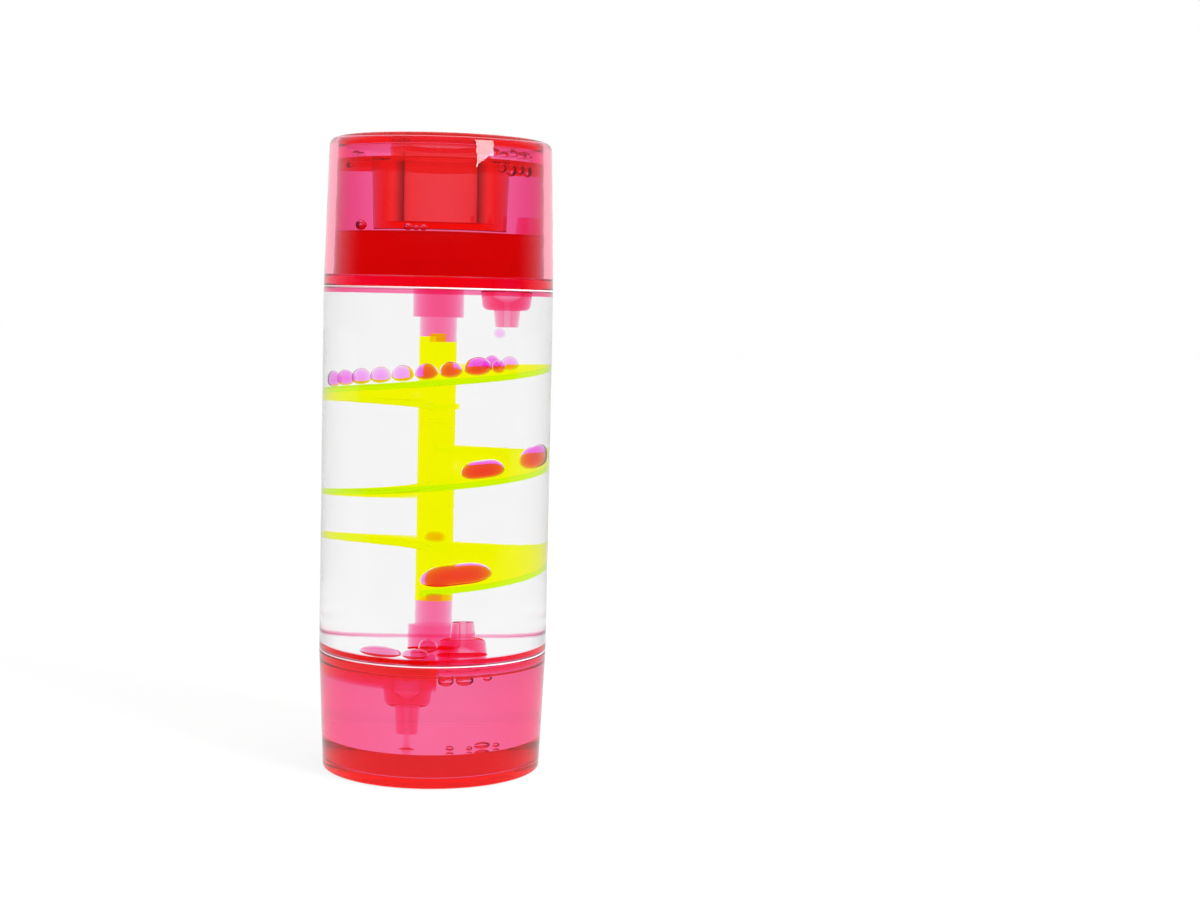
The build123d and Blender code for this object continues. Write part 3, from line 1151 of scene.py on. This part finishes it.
@dataclass
class Liquids:
    """The clear filling, the pools of red oil, the stream and the hanging drop."""

    housing: Housing
    partition: Partition
    lap: float = 0.15 * MM
    surface: float = 135.0 * MM
    seam: float = 0.04 * MM
    film_span: Ring = (2.2 * MM, 0.1 * MM)
    film_thickness: float = 0.3 * MM
    loose_flat: float = 0.8
    drop_sweep: float = 140.0
    drop_steps: int = 16

    def build(self) -> None:
        """Model and dress the filling and the red oil."""
        filling = self.filling()
        Bench.join(filling, [bubble.ball("bubble") for bubble in self.bubbles()], hollow=True)
        Bench.join(filling, [bubble.ball("foam") for bubble in self.foam()])
        dress(filling, LIQUID_FINISH.material())
        add_looks(filling)
        film = self.surface_film()
        dress(film, FILM_FINISH.material())
        add_looks(film)
        pool = POOL_FINISH.material()
        for piece, node, finish in (
            (self.pool("upper_oil", self.housing.cup_bore), "upper_oil", OIL_FINISH.material()),
            (self.partition_pool(), "partition_oil", pool),
            (self.pool("lower_oil", self.housing.base_bore), "lower_oil", pool),
            (self.stream(), "drain_stream", pool),
        ):
            dress(piece, finish)
            stand_for(piece, node, "red_oil")
        drop = self.hanging_drop()
        dress(drop, DropLook.PALE.value.material())
        stand_for(drop, "hanging_drop", "red_drop", "hanging_drop")
        pink = LOOSE_FINISH.material()
        for number, place in enumerate(self.loose_drops(), 1):
            loose = place.ball(f"loose_drop_{number}", self.loose_flat)
            dress(loose, pink)
            add_looks(loose)

    def filling(self) -> Piece:
        """Turn the clear filling, which laps into every wall that it wets.

        Returns:
            The filling.
        """
        shells, levels, lap = self.housing, self.housing.levels, self.lap
        bore = levels.radius - shells.tube_wall + lap
        seat = levels.radius - shells.flange_inset + lap
        ledge = levels.tube_low - shells.plate - shells.seam - lap
        low = levels.tube_low + shells.highlight_band + lap
        high = levels.tube_high - shells.highlight_band - lap
        cap_back = levels.tube_high + shells.plate + shells.seam + lap
        plug_low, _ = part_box("filler_plug")
        outline = [
            (shells.base_bore(shells.base_floor) + lap, shells.base_floor - lap),
            (shells.base_bore(ledge) + lap, ledge),
            (seat, ledge),
            (seat, low),
            (bore, low),
            (bore, high),
            (seat, high),
            (seat, cap_back),
            (shells.cup_bore(cap_back) + lap, cap_back),
            (shells.cup_bore(self.surface) + lap, self.surface),
            (shells.plug_radius - lap, self.surface),
            (shells.plug_tip_radius - lap, plug_low[2] + lap),
        ]
        return Bench.turn("clear_filling", outline, Ends.DISCS)

    def surface_film(self) -> Piece:
        """Turn the thin red film that clings to the inner cup just below the liquid's surface.

        Returns:
            The film.
        """
        bore = self.housing.cup_bore
        low, high = self.surface - self.film_span[0], self.surface - self.film_span[1]
        outer = self.lap / 2
        inner = outer + self.film_thickness
        outline = [
            (bore(low) - outer, low),
            (bore(high) - outer, high),
            (bore(high) - inner, high),
            (bore(low) - inner, low),
        ]
        return Bench.turn("surface_film", outline, Ends.JOINED)

    def bubbles(self) -> list[Bubble]:
        """List the bubbles of air that hang in the clear liquid.

        Returns:
            The bubbles.
        """
        plate = (self.housing.levels.tube_low - self.partition.plate) / MM
        _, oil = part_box("upper_oil")
        _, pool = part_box("lower_oil")
        upper, lower, brim = oil[2] / MM + 0.1, pool[2] / MM + 0.1, self.surface / MM - 0.5
        return [
            Bubble(19.4, -82.0, plate - 2.5, (3.3, 2.6, 2.3)),
            Bubble(19.4, -70.5, plate - 2.5, (3.8, 2.8, 2.3)),
            Bubble(19.6, -56.0, plate - 1.9, (2.0, 2.0, 1.7)),
            Bubble(18.6, -146.0, upper, (2.6, 2.6, 2.2)),
            Bubble(18.2, -110.5, upper, (1.7, 1.7, 1.5)),
            Bubble(18.4, -105.0, upper, (1.2, 1.2, 1.1)),
            Bubble(18.0, -100.5, upper, (1.5, 1.5, 1.3)),
            Bubble(18.8, -50.0, brim - 2.3, (2.2, 2.2, 2.2)),
            Bubble(19.0, -42.5, brim - 2.9, (2.5, 2.3, 2.7)),
            Bubble(19.0, -34.5, brim - 2.4, (2.3, 2.2, 2.2)),
            Bubble(19.2, -27.0, brim - 2.8, (2.4, 2.3, 2.6)),
            Bubble(19.0, -158.5, brim - 1.8, (2.4, 1.9, 1.6)),
            Bubble(17.5, -78.0, lower, (1.7, 1.7, 1.2)),
            Bubble(18.6, -66.0, lower, (1.3, 1.3, 1.0)),
            Bubble(17.8, -56.0, lower, (3.6, 2.6, 1.6)),
            Bubble(18.8, -47.0, lower, (1.5, 1.5, 1.1)),
        ]

    def foam(self) -> list[Bubble]:
        """List the beads of foam that float on the clear liquid.

        Returns:
            The beads.
        """
        brim = self.surface / MM + 0.06
        return [
            Bubble(19.0, -62.0, brim, (2.0, 2.0, 1.7)),
            Bubble(19.4, -55.0, brim, (2.4, 2.2, 2.4)),
            Bubble(19.2, -47.0, brim, (2.2, 2.2, 1.9)),
            Bubble(19.3, -39.5, brim, (2.5, 2.3, 2.5)),
            Bubble(19.2, -31.5, brim, (2.3, 2.2, 2.1)),
            Bubble(19.4, -24.0, brim, (2.3, 2.2, 2.4)),
            Bubble(19.5, -16.0, brim, (2.0, 2.0, 1.8)),
            Bubble(19.4, -158.0, brim, (2.2, 1.8, 1.6)),
            Bubble(19.4, -150.0, brim, (1.6, 1.6, 1.2)),
        ]

    def loose_drops(self) -> list[Bubble]:
        """List the drops of oil that lie on the lower partition.

        Returns:
            The drops.
        """
        _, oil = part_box("partition_oil")
        film = oil[2] / MM + 0.06
        return [
            Bubble(19.4, -122.5, film, (9.4, 4.4, 2.5)),
            Bubble(19.2, -100.5, film, (5.4, 4.0, 2.3)),
            Bubble(8.6, -96.0, film, (3.4, 3.4, 3.2)),
        ]

    def pool(self, node: str, bore: Callable[[float], float]) -> Piece:
        """Turn the oil that lies in a chamber.

        Args:
            node: Node that it stands for.
            bore: Gives the chamber's radius at a level.

        Returns:
            The pool.
        """
        low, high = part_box(node)
        outline = [(bore(level) - self.seam, level) for level in (low[2] + self.seam, high[2])]
        return Bench.turn(f"{node}_pool", outline, Ends.DISCS)

    def partition_pool(self) -> Piece:
        """Shape the oil that fills the lower sump and lies over the plate.

        Returns:
            The pool.
        """
        low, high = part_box("partition_oil")
        plate = self.partition
        face = self.housing.levels.tube_low
        above = high[2] + MM
        piece = Bench.rod("partition_oil_pool", plate.ring_bore - self.seam, (face + self.seam, high[2]))
        radius = plate.sump - plate.sump_wall - self.seam
        edge = plate.sump_wall - plate.sump_edge + self.seam
        span = (low[2] + self.seam, face + 2 * self.seam)
        Bench.work_in(piece, Bench.part_disc(radius, span, plate.sump_turn, edge), Joinery.ADD)
        boss = Bench.rod("boss_core", plate.boss + self.seam, (low[2] - MM, above))
        Bench.work_in(piece, boss, Joinery.CUT)
        vent = Bench.rod("vent_core", Nozzle.bell_radius + self.seam, (face - MM, above))
        Bench.put(vent, Matrix.Translation(on_circle(plate.inward_circle, plate.inward_turn, 0)))
        Bench.work_in(piece, vent, Joinery.CUT)
        Bench.smooth(piece)
        return piece

    @staticmethod
    def turn_over(name: str, outline: Outline, low: Vector, high: Vector) -> Piece:
        """Turn a piece about the upright line through the middle of a box.

        Args:
            name: Name of the piece.
            outline: Its outline, about the axis.
            low: Lower corner of the box.
            high: Upper corner of the box.

        Returns:
            The piece, in its place.
        """
        piece = Bench.turn(name, outline, Ends.DISCS)
        Bench.put(piece, Matrix.Translation(((low[0] + high[0]) / 2, (low[1] + high[1]) / 2, 0)))
        return piece

    def stream(self) -> Piece:
        """Turn the stream that runs from the drain nozzle into the pool.

        Returns:
            The stream.
        """
        low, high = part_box("drain_stream")
        thin = (high[0] - low[0]) / 2
        base = low[2] + self.seam
        rise = high[2] - base - self.seam
        swell = ((2.2, 0.0), (1.3, 0.08), (1.0, 0.25), (0.75, 0.6), (0.85, 1.0))
        outline = [(width * thin, base + share * rise) for width, share in swell]
        return self.turn_over("drain_stream_piece", outline, low, high)

    def hanging_drop(self) -> Piece:
        """Turn the drop that is about to fall from the drip nozzle.

        Returns:
            The drop.
        """
        low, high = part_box("hanging_drop")
        wide = (high[0] - low[0]) / 2
        tall = high[2] - low[2]
        outline = []
        for step in range(1, self.drop_steps + 1):
            turn = math.radians(self.drop_sweep * step / self.drop_steps - 90)
            outline.append((wide * math.cos(turn), low[2] + wide * (1 + math.sin(turn))))
        neck = ((0.62, 0.75), (0.45, 1.0))
        outline += [(width * wide, low[2] + share * tall) for width, share in neck]
        return self.turn_over("hanging_drop_piece", outline, low, high)


@dataclass(frozen=True)
class DropPlace:
    """A drop on a ramp: which ramp, how far from the bore, its turn and its size, in millimetres."""

    node: str
    ramp: int
    inset: float
    turn: float
    size: Triple


@dataclass
class Drops:
    """The red drops that run down the ramps."""

    levels: Levels
    bore: float = 23.5 * MM
    lift: float = 0.15 * MM
    row_count: int = 7
    row_inset: float = 2.9
    row_start: float = -163.5
    row_step: float = 13.55
    bead_size: Triple = (4.65, 4.0, 3.5)
    flat: float = 0.75
    blunt: float = 0.3
    pale_nodes: tuple[str, ...] = ("bead_3", "bead_4", "bead_5", "bead_11", "rear_drop")
    edge_nodes: tuple[str, ...] = ("bead_1", "bead_2", "side_drop")

    def look(self, drop: DropPlace) -> DropLook:
        """Choose the finish of a drop.

        Args:
            drop: The drop.

        Returns:
            Its finish.
        """
        if drop.node in self.edge_nodes:
            return DropLook.EDGE
        return DropLook.PALE if drop.node in self.pale_nodes else DropLook.DEEP

    def places(self) -> list[DropPlace]:
        """List every drop that rests on a ramp.

        Returns:
            The drops, with the row of equal beads first.
        """
        row = []
        for number in range(self.row_count):
            turn = self.row_start + self.row_step * number
            row.append(DropPlace(f"bead_{number + 1}", 0, self.row_inset, turn, self.bead_size))
        return row + [
            DropPlace("bead_8", 0, 2.9, -66.5, (5.9, 4.6, 4.0)),
            DropPlace("bead_9", 0, 4.0, -51.8, (2.9, 2.8, 2.9)),
            DropPlace("bead_10", 0, 10.9, -38.0, (3.4, 3.2, 3.2)),
            DropPlace("bead_11", 0, 6.5, -36.8, (4.2, 3.6, 3.0)),
            DropPlace("middle_drop", 1, 3.5, -61.6, (9.6, 5.2, 4.0)),
            DropPlace("side_drop", 1, 3.6, -17.0, (10.5, 5.4, 5.0)),
            DropPlace("lower_drop", 2, 3.0, -77.0, (15.0, 5.2, 4.6)),
            DropPlace("rear_drop", 2, 5.5, 90.4, (2.7, 2.6, 2.4)),
        ]

    def seat(self, drop: DropPlace) -> Matrix:
        """Find where a drop sits: its middle, with X uphill and Z off the ramp.

        Args:
            drop: The drop.

        Returns:
            The drop's place as a matrix.
        """
        radius = self.bore - drop.inset * MM
        turn = math.radians(drop.turn)
        level = self.levels.column_top() - drop.ramp * self.levels.module() - RAMP.drop
        level -= RAMP.lead * (RAMP.module_turn * drop.ramp - drop.turn) / 360
        uphill = Vector((-math.sin(turn), math.cos(turn), RAMP.lead / (2 * math.pi * radius))).normalized()
        outward = Vector((math.cos(turn), math.sin(turn), 0))
        off_ramp = outward.cross(uphill)
        across = off_ramp.cross(uphill)
        centre = outward * radius + Vector((0, 0, level + self.lift))
        centre += off_ramp * (drop.size[2] * MM / 2)
        turned = Matrix((uphill, across, off_ramp)).transposed().to_4x4()
        return Matrix.Translation(centre) @ turned

    def build(self) -> None:
        """Model and dress every drop."""
        looks = {look: look.value.material() for look in DropLook}
        for drop in self.places():
            size = Vector(drop.size) * MM
            blunt = 0.0 if drop.node.startswith("bead") else self.blunt
            piece = Bench.ball(f"{drop.node}_piece", size, self.seat(drop), self.flat, blunt)
            dress(piece, looks[self.look(drop)])
            stand_for(piece, drop.node, "red_drop", drop.node)


@dataclass
class Stage:
    """Floor, light and camera."""

    eye_distance: float = 428.3 * MM
    eye_height: float = 104.3 * MM
    lens: float = 57.16
    sensor: float = 36.0
    nearest: float = 0.01
    pitch_deg: float = 4.314
    yaw_deg: float = 4.924
    roll_deg: float = 1.346
    bounces: int = 64
    floor_size: float = 12.0
    floor_gap: float = 0.0002
    floor_white: float = 0.97
    floor_glow: float = 0.82
    floor_mirror: float = 0.9
    floor_fade: Ring = (-0.2, -0.12)
    front_level: float = 0.04
    back_fade: Ring = (0.0, 0.8)
    sky_fade: Ring = (0.1, 0.22)
    lamp_size: float = 0.3
    lamp_energy: float = 8.0
    lamp_place: Triple = (0.62, -0.62, 0.443)
    lamp_aim: Triple = (0.0, 0.0, 0.12)

    def build(self) -> None:
        """Set the floor, the world, the lamp and the camera."""
        bpy.context.scene.view_settings.view_transform = "Standard"
        cycles = bpy.context.scene.cycles
        cycles.max_bounces = self.bounces
        cycles.transmission_bounces = self.bounces
        cycles.glossy_bounces = self.bounces
        self.floor()
        self.world()
        self.lamp()
        self.camera()

    def floor(self) -> None:
        """Lay the pale floor, which keeps a faint shadow and is dull where it is mirrored."""
        Bench.clear()
        bpy.ops.mesh.primitive_plane_add(size=self.floor_size, location=(0, 0, -self.floor_gap))
        piece = bpy.context.object
        piece.name = "floor"
        bpy.ops.object.transform_apply(location=True)
        material, graph = new_material("pale_floor")
        graph.tree.nodes.remove(graph.tree.nodes["Principled BSDF"])
        path = graph.add("LightPath", {})
        white = (self.floor_white, self.floor_white, self.floor_white, 1.0)
        matt = graph.add("BsdfDiffuse", {"Color": white})[0]
        glow = graph.add("Emission", {})[0]
        depth = graph.parts("Object")["Y"]
        near = graph.fade(depth, self.floor_fade, (self.front_level, self.floor_mirror))
        dull = graph.add("Emission", {"Strength": near})[0]
        direct = graph.fade(path["Is Camera Ray"], (0.0, 1.0), (0.0, self.floor_glow))
        share = graph.math("MAXIMUM", direct, path["Is Transmission Ray"])
        seen = graph.mix(share, matt, glow)
        surface = graph.mix(graph.mirrored(path), seen, dull)
        graph.fill(graph.tree.nodes["Material Output"], {"Surface": surface})
        dress(piece, material)

    def world(self) -> None:
        """Surround the timer with plain white, dark in front for rays that the timer sends back."""
        world = bpy.data.worlds.new("studio")
        bpy.context.scene.world = world
        world.use_nodes = True
        graph = Graph(world.node_tree)
        path = graph.add("LightPath", {})
        parts = graph.parts("Generated")
        white = (*WHITE, 1.0)
        light = graph.tree.nodes["Background"]
        graph.fill(light, {"Color": white, "Strength": 1.0})
        behind = graph.fade(parts["Y"], self.back_fade, (self.front_level, 1.0))
        above = graph.fade(parts["Z"], self.sky_fade, (0.0, 1.0))
        level = graph.math("MAXIMUM", behind, above)
        mirror = graph.add("Background", {"Color": white, "Strength": level})[0]
        surface = graph.mix(graph.mirrored(path), light.outputs[0], mirror)
        graph.fill(graph.tree.nodes["World Output"], {"Surface": surface})

    def lamp(self) -> None:
        """Hang a soft light at the right of the camera."""
        lamp = bpy.data.lights.new("soft_light", "AREA")
        lamp.shape = "RECTANGLE"
        lamp.size = self.lamp_size
        lamp.size_y = self.lamp_size
        lamp.energy = self.lamp_energy
        holder = bpy.data.objects.new("soft_light", lamp)
        bpy.context.collection.objects.link(holder)
        holder.location = self.lamp_place
        holder.visible_transmission = False
        aim = Vector(self.lamp_aim) - holder.location
        holder.rotation_euler = aim.to_track_quat("-Z", "Y").to_euler()

    def camera(self) -> None:
        """Set the camera at the viewing angle."""
        lens = bpy.data.cameras.new("camera")
        lens.lens = self.lens
        lens.sensor_width = self.sensor
        lens.clip_start = self.nearest
        holder = bpy.data.objects.new("camera", lens)
        bpy.context.collection.objects.link(holder)
        aim = Euler((math.radians(90 - self.pitch_deg), 0, math.radians(-self.yaw_deg))).to_matrix()
        roll = Matrix.Rotation(math.radians(self.roll_deg), 3, "Z")
        place = Matrix.Translation((0, -self.eye_distance, self.eye_height))
        holder.matrix_world = place @ (aim @ roll).to_4x4()
        bpy.context.scene.camera = holder


def main() -> None:
    """Build the timer's looks around the frame."""
    logging.basicConfig(level=logging.INFO, format="%(message)s")
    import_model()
    levels = Levels.read()
    housing = Housing(levels)
    housing.build()
    partition = Partition(levels)
    partition.build()
    Spirals(levels).build()
    Liquids(housing, partition).build()
    Drops(levels).build()
    Stage().build()


if __name__ == "__main__":
    main()
